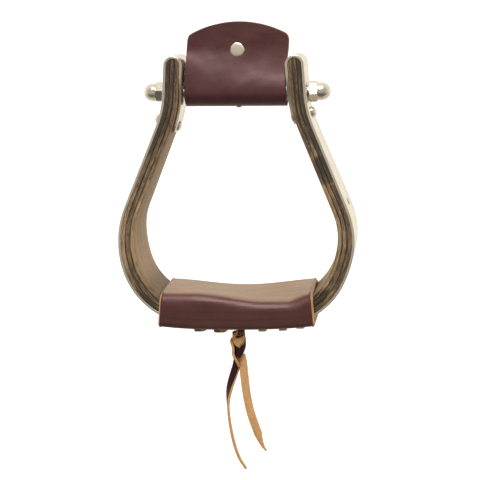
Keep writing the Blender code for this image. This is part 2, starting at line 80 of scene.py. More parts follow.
# The bow's outer outline, as in the solid model.
BOTTOM_Z = -162.5 * MM
FLAT_HALF = 29.6 * MM
CORNER_RADIUS = 53.0 * MM
CORNER_TURN = radians(70.5)
BELLY_RADIUS = 68.0 * MM
FLARE = radians(22.5)
FLARE_LENGTH = 60.5 * MM
NECK_RADIUS = 70.0 * MM
LEG_LEAN = radians(3.9)
LEG_TOP_Z = 25.8 * MM
BINDING = 1.9 * MM
BINDING_ROUND = 0.45 * MM
BINDING_OVERHANG = 0.1 * MM
WOOD_LOW = 10.3 * MM
WOOD_HIGH = 8.7 * MM
TOP_RADIUS = BINDING + GAP + WOOD_HIGH / 2
WOOD_TAPER_Z = (-118 * MM, -80 * MM)
WIDTH_LOW = 44.6 * MM
WIDTH_HIGH = 32.1 * MM
WIDTH_TAPER_Z = (-125 * MM, 0.0)
PLIES = 3
PLY_ROUND = 0.4 * MM
PLY_STEP = 3.5 * MM  # one unit of the grain's third coordinate
TUCK = 1.8 * MM
TUCK_X = (20 * MM, 55 * MM)
TUCK_Z = (-132 * MM, -98 * MM)

# Fasteners. -1 is the left leg and 1 the right one.
NUT_FLATS = 13.0 * MM
NUT_HEX_HEIGHT = 6.4 * MM
NUT_HEIGHT = 15.0 * MM
NUT_DOME_RADIUS = 6.2 * MM
NUT_TURN = radians(11)
NUT_BORE = 4.4 * MM
CHAMFER_STEPS = 6
CHAMFER_RISE = 0.17 * MM
CHAMFER_RUN = 0.1 * MM
RIVET_Z = {-1: -19.4 * MM, 1: -14.4 * MM}
RIVET_RADIUS = 4.0 * MM
RIVET_HEIGHT = {-1: 4.6 * MM, 1: 3.6 * MM}
RIVET_INNER_HEIGHT = 1.9 * MM
RIVET_SHANK = 1.8 * MM
BINDING_END_Z = {-1: -25.6 * MM, 1: -19.4 * MM}
NAIL_Z = -77.0 * MM
NAIL_RADIUS = 2.6 * MM
NAIL_HEIGHT = 0.95 * MM
TACK_RADIUS = 1.9 * MM
TACK_HEIGHT = 1.1 * MM

# Leather.
COVER_LEATHER = 2.9 * MM
COVER_RADIUS = 8.6 * MM
COVER_HALF = 35.4 * MM
FLAP_LAYER_Y = 1.65 * MM
FLAP_JOIN_Z = 33.0 * MM
FLAP_TOP_Z = 48.4 * MM
FLAP_SHOULDER_Z = 38.9 * MM
FLAP_SHIFT = 1.8 * MM
FLAP_HALF = 34.9 * MM
FLAP_CORNER = 2.6 * MM
TREAD_LEATHER = 2.6 * MM
TREAD_HALF_DEPTH = 25.4 * MM
TREAD_BROW = 6.0 * MM
TREAD_BOTTOM = -165.8 * MM
TREAD_HALF = 53.3 * MM
TREAD_REACH = 54.0 * MM  # the distance that its heights are given at
TREAD_LIP = 2.4 * MM
SEAM_Y = -12.0 * MM
STITCH_REACH = 7.2 * MM
STITCH_WIDTH = 5.7 * MM
THONG_WIDTH = 6.0 * MM
THONG = 1.9 * MM
THONG_ROUND = 0.45 * MM

# Each stitch's x, sag and skew, in millimetres.
STITCHES = ((-26.5, 1.7, 2.0), (-12.0, 2.3, 2.4), (17.5, 1.3, -0.4), (32.0, 1.2, -0.4),
            (45.0, 0.4, 0.3))

# The tails' centre lines, in millimetres.
TAIL_LEFT = ((-0.8, -10.6, -187.0), (-2.0, -11.0, -194.5), (-4.0, -11.8, -201),
             (-7.2, -13.0, -212), (-8.3, -13.4, -222), (-7.8, -13.6, -233),
             (-6.3, -13.8, -243.5), (-4.1, -13.8, -254), (-0.7, -13.6, -264),
             (3.9, -13.3, -272.0))
TAIL_RIGHT = ((1.6, -12.2, -186.5), (2.8, -12.2, -192.4), (3.6, -12.0, -202),
              (4.9, -11.8, -215), (7.0, -11.5, -227), (9.8, -11.3, -237),
              (12.1, -11.1, -243.5), (13.7, -11.0, -249), (16.0, -10.9, -255),
              (18.7, -10.8, -258.9))


def smooth_step(value, low, high):
    share = min(1.0, max(0.0, (value - low) / (high - low)))
    return share * share * (3 - 2 * share)


def bezier(a, b, c, d, t):
    s = 1 - t
    return a * s**3 + b * 3 * s * s * t + c * 3 * s * t * t + d * t**3


def distances(points):
    """How far along their line each point lies."""
    found = [0.0]
    for a, b in zip(points, points[1:]):
        found.append(found[-1] + (b - a).length)
    return found


def level(bearing):
    """The level direction at a bearing from the front, which grows to the right."""
    return Vector((sin(bearing), -cos(bearing), 0))


# ---- materials


class Nodes:
    """A node tree to which nodes are added with values or other nodes' sockets as inputs."""

    def __init__(self, owner):
        owner.use_nodes = True
        self.tree = owner.node_tree

    def put(self, target, value):
        if isinstance(value, bpy.types.NodeSocket):
            self.tree.links.new(value, target)
        else:
            target.default_value = value

    def set(self, node, values):
        for key, value in values.items():
            self.put(node.inputs[key], value)

    def add(self, kind, values=None, out=0, **settings):
        node = self.tree.nodes.new("ShaderNode" + kind)
        for key, value in settings.items():
            setattr(node, key, value)
        self.set(node, values or {})
        return node.outputs[out]

    def math(self, operation, a, b=0.0):
        return self.add("Math", {0: a, 1: b}, operation=operation)

    def ease(self, value, low, high, start=0.0, end=1.0):
        """Runs smoothly from start to end while the value runs from low to high."""
        return self.add("MapRange", {0: value, 1: low, 2: high, 3: start, 4: end},
                        interpolation_type="SMOOTHSTEP")

    def split(self, vector):
        node = self.tree.nodes.new("ShaderNodeSeparateXYZ")
        self.set(node, {0: vector})
        return node.outputs


class Look(Nodes):
    """A material with a principled shader."""

    def __init__(self, name, **shader_values):
        self.material = bpy.data.materials.new(name)
        super().__init__(self.material)
        self.shader = self.tree.nodes["Principled BSDF"]
        self.set(self.shader, shader_values)

    def along(self, scale=(1, 1, 1)):
        """The piece's own coordinates in metres, scaled: along it, across it and into it."""
        vector = self.add("Attribute", out=1, attribute_name="along")
        return self.add("Mapping", {"Vector": vector, "Scale": scale})

    def place(self, scale=(1, 1, 1)):
        """Object coordinates in metres, scaled."""
        vector = self.add("TexCoord", out=3)
        return self.add("Mapping", {"Vector": vector, "Scale": scale})

    def noise(self, vector, scale, detail=4.0, roughness=0.55, distortion=0.0):
        return self.add("TexNoise", {"Vector": vector, "Scale": scale, "Detail": detail,
                                     "Roughness": roughness, "Distortion": distortion})

    def ramp(self, factor, stops):
        """A colour or grey ramp from (position, colour or level) stops."""
        node = self.tree.nodes.new("ShaderNodeValToRGB")
        elements = node.color_ramp.elements
        while len(elements) < len(stops):
            elements.new(0.5)
        for element, (position, colour) in zip(elements, stops):
            element.position = position
            grey = isinstance(colour, (int, float))
            element.color = (colour, colour, colour, 1) if grey else (*colour, 1)
        self.set(node, {0: factor})
        return node.outputs[0]

    def mix(self, factor, a, b):
        node = self.tree.nodes.new("ShaderNodeMix")
        node.data_type = "RGBA"
        self.put(node.inputs[0], factor)
        for index, value in ((6, a), (7, b)):
            linked = isinstance(value, bpy.types.NodeSocket)
            self.put(node.inputs[index], value if linked else (*value, 1))
        return node.outputs[2]

    def bump(self, height, strength, distance, normal=None):
        values = {"Height": height, "Strength": strength, "Distance": distance}
        if normal is not None:
            values["Normal"] = normal
        return self.add("Bump", values)

    def finish(self, **values):
        self.set(self.shader, {key.replace("_", " "): value for key, value in values.items()})
        return self.material


def wood_look():
    """Stained laminate: fine flecks, long streaks, broken glue lines and stained stretches, which
    are in metres along the bow from its middle. The third coordinate runs from 0 at the outer face
    to 3 at the inner one, which is lighter."""
    look = Look("laminated_wood")
    run, _, depth = look.split(look.add("Attribute", out=1, attribute_name="along"))
    distance = look.math("ABSOLUTE", run)
    flecks = look.noise(look.along((190, 1050, 1050 * PLY_STEP)), 1.0, 3.0, 0.7)
    grain = look.noise(look.along((45, 1000, 1000 * PLY_STEP)), 1.0, 4.0, 0.6)
    broad = look.noise(look.along((38, 60, 260 * PLY_STEP)), 1.0, 3.0, 0.55)
    wander = look.noise(look.along((45, 30, 0)), 1.0, 3.0)

    def times(a, b):
        return look.math("MULTIPLY", a, b)

    def window(value, low, high, soft):
        """1 between low and high, and 0 outside, with soft sides."""
        return times(look.ease(value, low - soft, low + soft),
                     look.ease(value, high - soft, high + soft, 1.0, 0.0))

    def add_up(*terms):
        total = 0.0
        for term, weight in terms:
            weighted = term * weight if isinstance(term, float) else times(term, weight)
            total = look.math("ADD", total, weighted)
        return total

    shifted = look.math("ADD", depth, times(look.math("SUBTRACT", wander, 0.5), 0.4))
    outer_band = window(shifted, -1.0, 0.95, 0.12)
    middle_band = window(shifted, 1.05, 2.0, 0.15)
    inner_band = window(shifted, 1.9, 4.0, 0.2)
    stained = add_up((window(run, 0.1655, 0.1840, 0.0015), 0.34),
                     (window(run, 0.050, 0.079, 0.004), 0.32),
                     (times(window(run, -0.081, -0.050, 0.006), outer_band), 0.38),
                     (times(window(distance, 0.165, 1.0, 0.03), outer_band), 0.26),
                     (times(window(run, 0.080, 0.160, 0.006), outer_band), 0.26),
                     (window(distance, 0.190, 1.0, 0.02), 0.22),
                     (middle_band, 0.12))
    pale = add_up((times(window(run, 0.1855, 0.1945, 0.001), middle_band), 0.22),
                  (times(window(run, 0.115, 0.163, 0.004), inner_band), 0.16),
                  (times(window(run, -0.165, -0.085, 0.012), inner_band), 0.14),
                  (window(distance, 0.085, 0.150, 0.02), 0.06))
    tone = add_up((flecks, 1.35), (grain, 1.2), (broad, 0.75), (1.0, -1.075), (pale, 1.0),
                  (stained, -1.0))
    edge = look.ramp(tone, ((0.16, (0.042, 0.028, 0.016)), (0.40, (0.138, 0.089, 0.047)),
                            (0.62, (0.225, 0.148, 0.079)), (0.88, (0.40, 0.265, 0.145))))
    cycle = look.math("PINGPONG", shifted, 0.5)
    line = look.ramp(cycle, ((0.0, 1.0), (0.09, 0.95), (0.22, 0.0)))
    inside = window(depth, 0.3, 2.7, 0.1)
    broken = look.ramp(look.noise(look.along((70, 40, 0.8)), 1.0, 3.0), ((0.36, 0.25), (0.55, 1.0)))
    line = times(times(line, inside), broken)
    edge = look.mix(times(line, 0.96), edge, (0.034, 0.023, 0.016))
    # An orange band along the inner edge of the front face: partly the raw wood's colour, partly a
    # painted highlight on that rounded edge.
    rim = times(window(depth, 2.86, 4.0, 0.1), 0.55)
    edge = look.mix(rim, edge, (0.30, 0.155, 0.065))
    # Darker low on the inner face, 45 to 85 mm along the bow from its middle, near the tread's
    # ends.
    dark_patch = times(window(distance, 0.045, 0.085, 0.016), 0.24)
    long_grain = look.noise(look.along((12, 620, 0)), 1.0, 5.0, 0.6)
    face_tone = add_up((flecks, 0.4), (long_grain, 0.95), (1.0, -0.15), (dark_patch, -1.0))
    face = look.ramp(face_tone, ((0.26, (0.10, 0.060, 0.030)), (0.46, (0.265, 0.168, 0.083)),
                                 (0.68, (0.40, 0.26, 0.135))))
    is_face = look.ramp(look.math("DIVIDE", depth, 3.0), ((0.965, 0.0), (0.99, 1.0)))
    height = look.math("SUBTRACT", tone, times(line, 0.6))
    return look.finish(Base_Color=look.mix(is_face, edge, face),
                       Normal=look.bump(height, 0.4, 0.25 * MM),
                       Roughness=look.ramp(flecks, ((0.3, 0.62), (0.7, 0.48))))


def metal_look(name, colour, low, high, scratch=0.06, grain=200):
    """Plated metal with a roughness from low to high in faint smudges, and fine scratches."""
    look = Look(name, Metallic=1.0)
    dark_patch = look.noise(look.place(), 130.0, 4.0)
    fine = look.noise(look.place((grain, grain, grain)), 6.0, 6.0, 0.7)
    tone = look.mix(look.ramp(dark_patch, ((0.35, 0.0), (0.7, 1.0))), colour,
                    tuple(c * 0.86 for c in colour))
    return look.finish(Base_Color=tone, Roughness=look.ramp(dark_patch, ((0.3, low), (0.75, high))),
                       Normal=look.bump(fine, scratch, 0.08 * MM))


def grain_leather_look(name, deep, mid, worn=None, gloss=0.5, creases=0.0, dome=0.0):
    """Dyed grain leather with small pebbles, pores and blotches. worn is the colour painted on the
    upward-facing top: partly wear where feet rub, partly a painted sheen that stands for the bright
    surroundings reflected at a low angle. creases gives long folds, and dome, in 1/m, makes it look
    bulged."""
    look = Look(name, **{"Specular IOR Level": gloss, "Specular Tint": (1.0, 0.74, 0.74, 1)})
    flat = look.along()
    pores = look.add("TexVoronoi", {"Vector": flat, "Scale": 1500.0, "Randomness": 1.0},
                     feature="DISTANCE_TO_EDGE")
    pebble = look.ramp(pores, ((0.0, 0.0), (0.14, 1.0)))
    blotch = look.noise(flat, 55.0, 5.0, 0.6)
    streak = look.noise(look.along((600, 60, 1)), 1.0, 4.0, 0.6)
    colour = look.ramp(blotch, ((0.3, deep), (0.7, mid)))
    colour = look.mix(look.math("MULTIPLY", streak, 0.3), colour, mid)
    if worn:
        # Painted sheen and wear: the upward-facing top is mixed towards worn, which stands partly
        # for rubbing and partly for the surroundings' light reflected at a low angle.
        upwards = look.split(look.add("NewGeometry", out=1))[2]
        top = look.ramp(upwards, ((0.80, 0.0), (0.96, 1.0)))
        rub = look.ramp(look.noise(look.along((30, 160, 1)), 1.0, 4.0), ((0.2, 0.7), (0.7, 1.0)))
        wear_and_sheen = look.math("MULTIPLY", look.math("MULTIPLY", top, rub), 0.8)
        colour = look.mix(wear_and_sheen, colour, worn)
    colour = look.mix(look.ramp(pores, ((0.0, 0.35), (0.09, 0.0))), colour, deep)
    normal = look.bump(pebble, 0.2, 0.06 * MM)
    normal = look.bump(look.noise(flat, 420.0, 4.0, 0.65), 0.4, 0.12 * MM, normal)
    if dome:
        off = look.math("ADD", look.split(flat)[0], 6 * MM)
        height = look.math("MULTIPLY", look.math("MULTIPLY", off, off), -dome)
        normal = look.bump(height, 1.0, 1.0, normal)
        normal = look.bump(look.noise(look.along((30, 34, 1)), 1.0, 2.0), 0.7, 1.6 * MM, normal)
    if creases:
        folds = look.noise(look.along((7, 260, 1)), 1.0, 3.0, 0.5)
        normal = look.bump(folds, creases, 0.8 * MM, normal)
    rough = look.ramp(blotch, ((0.3, 0.36), (0.75, 0.47)))
    return look.finish(Base_Color=colour, Normal=normal, Roughness=rough)


def raw_leather_look(name, dark, light):
    """Undyed leather, as on a cut edge or a flesh side: short fibres and a matte nap."""
    look = Look(name, **{"Roughness": 0.85, "Sheen Weight": 0.15, "Sheen Roughness": 0.5})
    fibres = look.noise(look.place(), 700.0, 6.0, 0.7, 0.6)
    cloud = look.noise(look.place(), 120.0, 3.0)
    colour = look.ramp(fibres, ((0.28, dark), (0.68, light)))
    colour = look.mix(look.ramp(cloud, ((0.35, 0.35), (0.65, 0.0))), colour, dark)
    return look.finish(Base_Color=colour, Normal=look.bump(fibres, 0.5, 0.2 * MM))


def make_looks():
    nickel = (0.86, 0.80, 0.70)
    metals = {
        "binding": ("polished_binding", (0.89, 0.82, 0.70), 0.20, 0.32, 0.05, 60),
        "nut": ("polished_nut", nickel, 0.18, 0.28),
        "rivet": ("polished_rivet", nickel, 0.12, 0.26),
        "flat_rivet": ("flat_rivet", (0.97, 0.90, 0.76), 0.34, 0.46, 1.0, 260),
        "steel": ("plated_steel", (0.56, 0.53, 0.49), 0.28, 0.45, 0.15),
    }
    raw = {
        "cover_edge": ("cover_leather_edge", (0.09, 0.03, 0.02), (0.22, 0.09, 0.06)),
        "tread_edge": ("tread_leather_edge", (0.36, 0.17, 0.07), (0.62, 0.36, 0.18)),
        "flesh": ("leather_flesh_side", (0.36, 0.21, 0.10), (0.56, 0.37, 0.20)),
        "thong_flesh": ("thong_flesh_side", (0.52, 0.27, 0.105), (0.86, 0.50, 0.22)),
        "thong_edge": ("thong_edge", (0.50, 0.24, 0.09), (0.80, 0.45, 0.19)),
    }
    looks = {
        "wood": wood_look(),
        "cover": grain_leather_look("cover_leather", (0.047, 0.0138, 0.0128),
                                    (0.080, 0.0255, 0.0245), gloss=0.66, dome=1.3),
        # The tread's third colour is its top's worn colour: partly wear, partly a painted sheen of
        # reflected light.
        "tread": grain_leather_look("tread_leather", (0.062, 0.022, 0.018), (0.100, 0.036, 0.030),
                                    (0.37, 0.255, 0.155), gloss=0.6, creases=0.42),
        "thong_grain": grain_leather_look("thong_grain_side", (0.014, 0.004, 0.004),
                                          (0.036, 0.010, 0.010), gloss=0.25),
        "stitch_grain": grain_leather_look("stitch_grain_side", (0.045, 0.020, 0.015),
                                           (0.16, 0.085, 0.055)),
    }
    looks.update({key: metal_look(*values) for key, values in metals.items()})
    looks.update({key: raw_leather_look(*values) for key, values in raw.items()})
    return looks


LOOKS = make_looks()


# ---- mesh tools


def add_object(name, data):
    obj = bpy.data.objects.new(name, data)
    bpy.context.scene.collection.objects.link(obj)
    return obj


def add_mesh(name, bm, looks, smooth_angle=38, along=None):
    """Turns a bmesh into an object. along has each vertex's own coordinates for the materials."""
    bm.verts.index_update()
    mesh = bpy.data.meshes.new(name)
    bm.to_mesh(mesh)
    bm.free()
    for look in looks:
        mesh.materials.append(look)
    if along is not None:
        attribute = mesh.attributes.new("along", "FLOAT_VECTOR", "POINT")
        attribute.data.foreach_set("vector", [c for value in along for c in value])
    mesh.shade_smooth()
    mesh.set_sharp_from_angle(angle=radians(smooth_angle))
    return add_object(name, mesh)


def skin(rings, cyclic=True, joined=False, pick=None):
    """A bmesh skinned over rings of equal count. cyclic closes each ring, joined closes the run of
    rings, and pick(point) gives the material of the faces after a point. Open ends get caps."""
    bm = bmesh.new()
    made = [[bm.verts.new(p) for p in ring] for ring in rings]
    count = len(rings[0])
    for low, high in zip(made, made[1:] + (made[:1] if joined else [])):
        for k in range(count if cyclic else count - 1):
            n = (k + 1) % count
            face = bm.faces.new((low[k], low[n], high[n], high[k]))
            if pick:
                face.material_index = pick(k)
    if cyclic and not joined:
        bm.faces.new(made[0])
        bm.faces.new(made[-1])
    bmesh.ops.recalc_face_normals(bm, faces=bm.faces)
    return bm


def rounded_box(low, high, half, radius, steps=3):
    """(depth, across) points round a rectangle with rounded corners, from its low front corner."""
    radius = min(radius, (high - low) * 0.49)
    points = []
    for depth, across, start in ((low, -half, 1.5 * pi), (low, half, pi), (high, half, pi / 2),
                                 (high, -half, 0.0)):
        inner_depth = depth + radius * (1 if depth == low else -1)
        inner_across = across + radius * (1 if across < 0 else -1)
        for k in range(steps + 1):
            angle = start - pi / 2 * k / steps
            points.append((inner_depth + radius * cos(angle), inner_across + radius * sin(angle)))
    return points


def turned(name, profile, origin, axis, sides, look, turn=0.0, smooth_angle=38):
    """A turned object. A profile entry is (radius or function of the angle, distance)."""
    axis = Vector(axis).normalized()
    side = Vector((0, 0, 1)) if abs(axis.z) < 0.9 else Vector((1, 0, 0))
    side = (side - axis * side.dot(axis)).normalized()
    up = axis.cross(side)
    rings = []
    for radius, distance in profile:
        ring = []
        for k in range(sides):
            angle = 2 * pi * k / sides
            reach = radius(angle) if callable(radius) else radius
            ring.append(Vector(origin) + axis * distance
                        + (side * cos(angle + turn) + up * sin(angle + turn)) * reach)
        rings.append(ring)
    return add_mesh(name, skin(rings), [look], smooth_angle)


def place(obj, body, node):
    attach(obj, body)
    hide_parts(node)


# ---- the bow


def inward(angle):
    return Vector((-sin(angle), cos(angle)))


def heading(angle):
    return Vector((cos(angle), sin(angle)))


def right_outline():
    """Stations (point, direction angle, distance) up the bow's outer face from its middle."""
    stations = [(Vector((FLAT_HALF * k / 8, BOTTOM_Z)), 0.0) for k in range(9)]

    def arc(radius, turn, steps):
        start, angle = stations[-1]
        centre = start + inward(angle) * radius
        for k in range(1, steps + 1):
            now = angle + turn * k / steps
            stations.append((centre - inward(now) * radius, now))

    def line(length, steps):
        start, angle = stations[-1]
        for k in range(1, steps + 1):
            stations.append((start + heading(angle) * length * k / steps, angle))

    arc(CORNER_RADIUS, CORNER_TURN, 34)
    arc(BELLY_RADIUS, pi / 2 + FLARE - CORNER_TURN, 24)
    line(FLARE_LENGTH, 16)
    arc(-NECK_RADIUS, LEG_LEAN - FLARE, 14)
    start, angle = stations[-1]
    line((LEG_TOP_Z - TOP_RADIUS - TOP_RADIUS * cos(angle) - start.y) / sin(angle), 8)
    points, angles = zip(*stations)
    return list(zip(points, angles, distances(points)))


def wood_thickness(z):
    return WOOD_LOW + (WOOD_HIGH - WOOD_LOW) * smooth_step(z, *WOOD_TAPER_Z)


def half_width(z):
    return 0.5 * (WIDTH_LOW + (WIDTH_HIGH - WIDTH_LOW) * smooth_step(z, *WIDTH_TAPER_Z))


def bow_section(point, angle, distance, low, high, half, radius, start=0.0, step=1.0):
    """A ring round a lamina, and its material coordinates, whose depth counts steps from start."""
    ring, along = [], []
    for depth, across in rounded_box(low, high, half, radius):
        spot = point + inward(angle) * depth
        ring.append(Vector((spot.x, across, spot.y)))
        along.append((distance, across, (depth - start) / step))
    return ring, along


def tucked(p):
    """The right corner is bent a little tighter than the left one."""
    pull = TUCK * smooth_step(p.x, *TUCK_X) * (1 - smooth_step(p.z, *TUCK_Z))
    return Vector((p.x - pull, p.y, p.z))


def bow_mesh(name, look, right, left):
    """A piece along the whole bow, from the sections of its right half and those that its left
    half mirrors."""
    sections = [([Vector((-p.x, p.y, p.z)) for p in ring], [(-s, y, d) for s, y, d in along])
                for ring, along in reversed(left[1:])]
    sections += [([tucked(p) for p in ring], along) for ring, along in right]
    rings, along = zip(*sections)
    return add_mesh(name, skin(rings), [look], along=[spot for part in along for spot in part])


def make_ply(index, layer):
    """A lamination. Its ends follow the round that all three make at the legs' tops."""
    start = BINDING + SEAT
    sections = []
    for point, angle, distance in right_outline():
        step = (wood_thickness(point.y) + GAP - SEAT) / PLIES
        low = start + step * index + (SEAT / 2 if index else 0)
        high = start + step * (index + 1) - (SEAT / 2 if index < PLIES - 1 else 0)
        sections.append(bow_section(point, angle, distance, low, high, half_width(point.y),
                                    PLY_ROUND, start, step))
    middle = start + step * PLIES / 2
    wood_radius = WOOD_HIGH / 2 + GAP - SEAT
    shares = (0.2, 0.4, 0.55, 0.68, 0.78, 0.86, 0.91) if index != 1 else (0.3, 0.6, 0.85, 0.95)
    for share in shares:
        rise = wood_radius * share
        reach = sqrt(wood_radius**2 - rise**2)
        base = point + heading(angle) * rise
        sections.append(bow_section(base, angle, distance + rise, max(low, middle - reach),
                                    min(high, middle + reach), half_width(base.y), PLY_ROUND,
                                    start, step))
    obj = bow_mesh(f"wood_{layer}", LOOKS["wood"], sections, sections)
    place(obj, "bow", f"{layer}_ply")


def binding_half(end_z):
    """Sections of half the strap: up the outside, over the leg's top and down inside to end_z."""
    outline = right_outline()
    sections = []

    def add_section(point, angle, distance, half):
        sections.append(bow_section(point, angle, distance, 0.0, BINDING, half, BINDING_ROUND))

    for point, angle, distance in outline:
        add_section(point, angle, distance, half_width(point.y) + BINDING_OVERHANG)
    point, lean, distance = outline[-1]
    centre = point + inward(lean) * TOP_RADIUS
    steps = 20
    for k in range(1, steps):
        turn = pi * k / steps
        add_section(centre - inward(lean + turn) * TOP_RADIUS, lean + turn,
                    distance + TOP_RADIUS * turn, half_width(0) + BINDING_OVERHANG)
    over = distance + TOP_RADIUS * pi
    for point, angle, own in reversed([s for s in outline if s[0].y > end_z]):
        left = point.y - end_z
        half = half_width(point.y) + BINDING_OVERHANG
        half *= 0.7 + 0.3 * smooth_step(point.y, -12 * MM, 14 * MM)
        half *= 0.25 + 0.75 * sqrt(1 - max(0.0, 1 - left / (8 * MM)) ** 2)
        face = BINDING + GAP + SEAT + wood_thickness(point.y)
        add_section(point + inward(angle) * (face + BINDING + GAP - SEAT), angle + pi,
                    over + distance - own, half)
    return sections


def make_binding():
    """One strap round the outside and over both leg tops, to below the rivets inside."""
    obj = bow_mesh("binding_strap", LOOKS["binding"], binding_half(BINDING_END_Z[1]),
                   binding_half(BINDING_END_Z[-1]))
    place(obj, "bow", "metal_binding")


def on_leg(z, side):
    """A point on a leg's outer face at height z and the direction into the leg."""
    outline = right_outline()
    for (a, angle_a, _), (b, angle_b, _) in zip(outline, outline[1:]):
        if a.y <= z <= b.y and b.y > a.y:
            share = (z - a.y) / (b.y - a.y)
            point, inwards = a.lerp(b, share), inward(angle_a + (angle_b - angle_a) * share)
            return Vector((side * point.x, 0, point.y)), Vector((side * inwards.x, 0, inwards.y))


# ---- fasteners


def make_nut(side, name):
    """An acorn nut: a hexagon with its corners turned off at both faces, and a dome."""
    flat = NUT_FLATS / 2

    def hexagon(limit):
        def radius(angle):
            corner = flat / cos((angle + pi / 6) % (pi / 3) - pi / 6)
            return min(corner, limit)
        return radius

    profile = [(NUT_BORE, 6 * MM), (NUT_BORE, 0.5 * MM), (NUT_BORE + 0.5 * MM, 0.0)]
    for k in range(CHAMFER_STEPS + 1):
        profile.append((hexagon(flat * 0.97 + k * CHAMFER_RISE), k * CHAMFER_RUN))
    profile.append((hexagon(1), 0.75 * MM))
    profile.append((hexagon(1), NUT_HEX_HEIGHT - 0.75 * MM))
    for k in range(CHAMFER_STEPS, -1, -1):
        profile.append((hexagon(flat * 0.97 + k * CHAMFER_RISE), NUT_HEX_HEIGHT - k * CHAMFER_RUN))
    neck = NUT_DOME_RADIUS - 0.25 * MM
    profile += [(neck, NUT_HEX_HEIGHT + 0.05 * MM), (neck, NUT_HEX_HEIGHT + 0.35 * MM),
                (NUT_DOME_RADIUS, NUT_HEX_HEIGHT + 0.75 * MM)]
    dome = NUT_DOME_RADIUS + 0.2 * MM
    steps = 17
    for k in range(steps):
        turn = pi / 2 * k / steps
        profile.append((NUT_DOME_RADIUS * cos(turn) ** 0.94, NUT_HEIGHT - dome + dome * sin(turn)))
    profile.append((0.25 * MM, NUT_HEIGHT))
    low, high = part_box(f"cap_nut_{name}")
    seat = (low.x if side > 0 else high.x, 0, 0)
    obj = turned(f"acorn_nut_{name}", profile, seat, (side, 0, 0), 72, LOOKS["nut"], NUT_TURN, 24)
    place(obj, "bow", f"cap_nut_{name}")


def head_profile(radius, height, base, outwards, steps=9):
    """A low dome with a rounded rim, from under its rim to its middle."""
    profile = [(radius * 0.93, base), (radius, base + outwards * height * 0.14)]
    for k in range(1, steps):
        turn = pi / 2 * k / steps
        profile.append((radius * cos(turn), base + outwards * height * (0.14 + 0.86 * sin(turn))))
    profile.append((radius * 0.03, base + outwards * height))
    return profile


def make_leg_rivet(side, name):
    start, axis = on_leg(RIVET_Z[side], side)
    depth = 2 * BINDING + 2 * GAP + WOOD_HIGH
    profile = head_profile(RIVET_RADIUS, RIVET_HEIGHT[side], -SEAT, -1)[::-1]
    profile += [(RIVET_SHANK, -SEAT), (RIVET_SHANK, depth + SEAT)]
    profile += head_profile(RIVET_RADIUS, RIVET_INNER_HEIGHT, depth + SEAT, 1)
    obj = turned(f"domed_rivet_{name}", profile, start, axis, 40, LOOKS["rivet"])
    place(obj, "bow", f"leg_rivet_{name}")


def make_nail(side, name):
    start, axis = on_leg(NAIL_Z, side)
    profile = head_profile(NAIL_RADIUS, NAIL_HEIGHT, -SEAT, -1, 6)[::-1]
    profile += [(0.9 * MM, -SEAT), (0.9 * MM, 6.5 * MM), (0.05 * MM, 8.4 * MM)]
    obj = turned(f"nail_head_{name}", profile, start, axis, 28, LOOKS["rivet"])
    place(obj, "bow", f"binding_nail_{name}")


# ---- leather


def leather_sheet(name, rows, along, thickness, looks):
    """A sheet of leather over a grid of points on its middle layer, with rounded edges. Its outer
    side takes the first look, its cut edges the second and its inner side the third."""
    obj = add_mesh(name, skin(rows, cyclic=False), looks, smooth_angle=60, along=along)
    solid = obj.modifiers.new("thickness", "SOLIDIFY")
    solid.thickness = thickness
    solid.offset = 0.0
    solid.use_even_offset = True
    solid.material_offset = 2
    solid.material_offset_rim = 1
    edge = obj.modifiers.new("edges", "BEVEL")
    edge.width = thickness * 0.16
    edge.segments = 3
    edge.limit_method = "ANGLE"
    edge.angle_limit = radians(60)
    return obj


def cover_line():
    """(y, z) of the cover's middle layer: down the front from where the flap's layers meet to the
    wrap, and then round the spacer to the same height behind."""
    lift = radians(3)
    low = Vector((-cos(lift), sin(lift))) * COVER_RADIUS
    high = Vector((-FLAP_LAYER_Y, FLAP_JOIN_Z))
    handle = 10 * MM
    leave = Vector((sin(lift), cos(lift)))
    steps = 20
    bend = [bezier(high, high - Vector((0, handle)), low + leave * handle, low, k / steps)
            for k in range(steps + 1)]
    steps = 36
    under = []
    for k in range(1, steps):
        angle = pi - lift + (pi + 2 * lift) * k / steps
        under.append(Vector((cos(angle), sin(angle))) * COVER_RADIUS)
    return bend, under


def flap_top(x):
    """Height of the flap's arched top edge at x, with its small rounded corners."""
    rise = FLAP_TOP_Z - FLAP_SHOULDER_Z
    radius = (FLAP_HALF**2 + rise**2) / (2 * rise)
    past = max(0.0, abs(x) - (FLAP_HALF - FLAP_CORNER))
    drop = FLAP_CORNER - sqrt(max(0.0, FLAP_CORNER**2 - past**2))
    return FLAP_TOP_Z - radius + sqrt(radius**2 - x * x) - drop


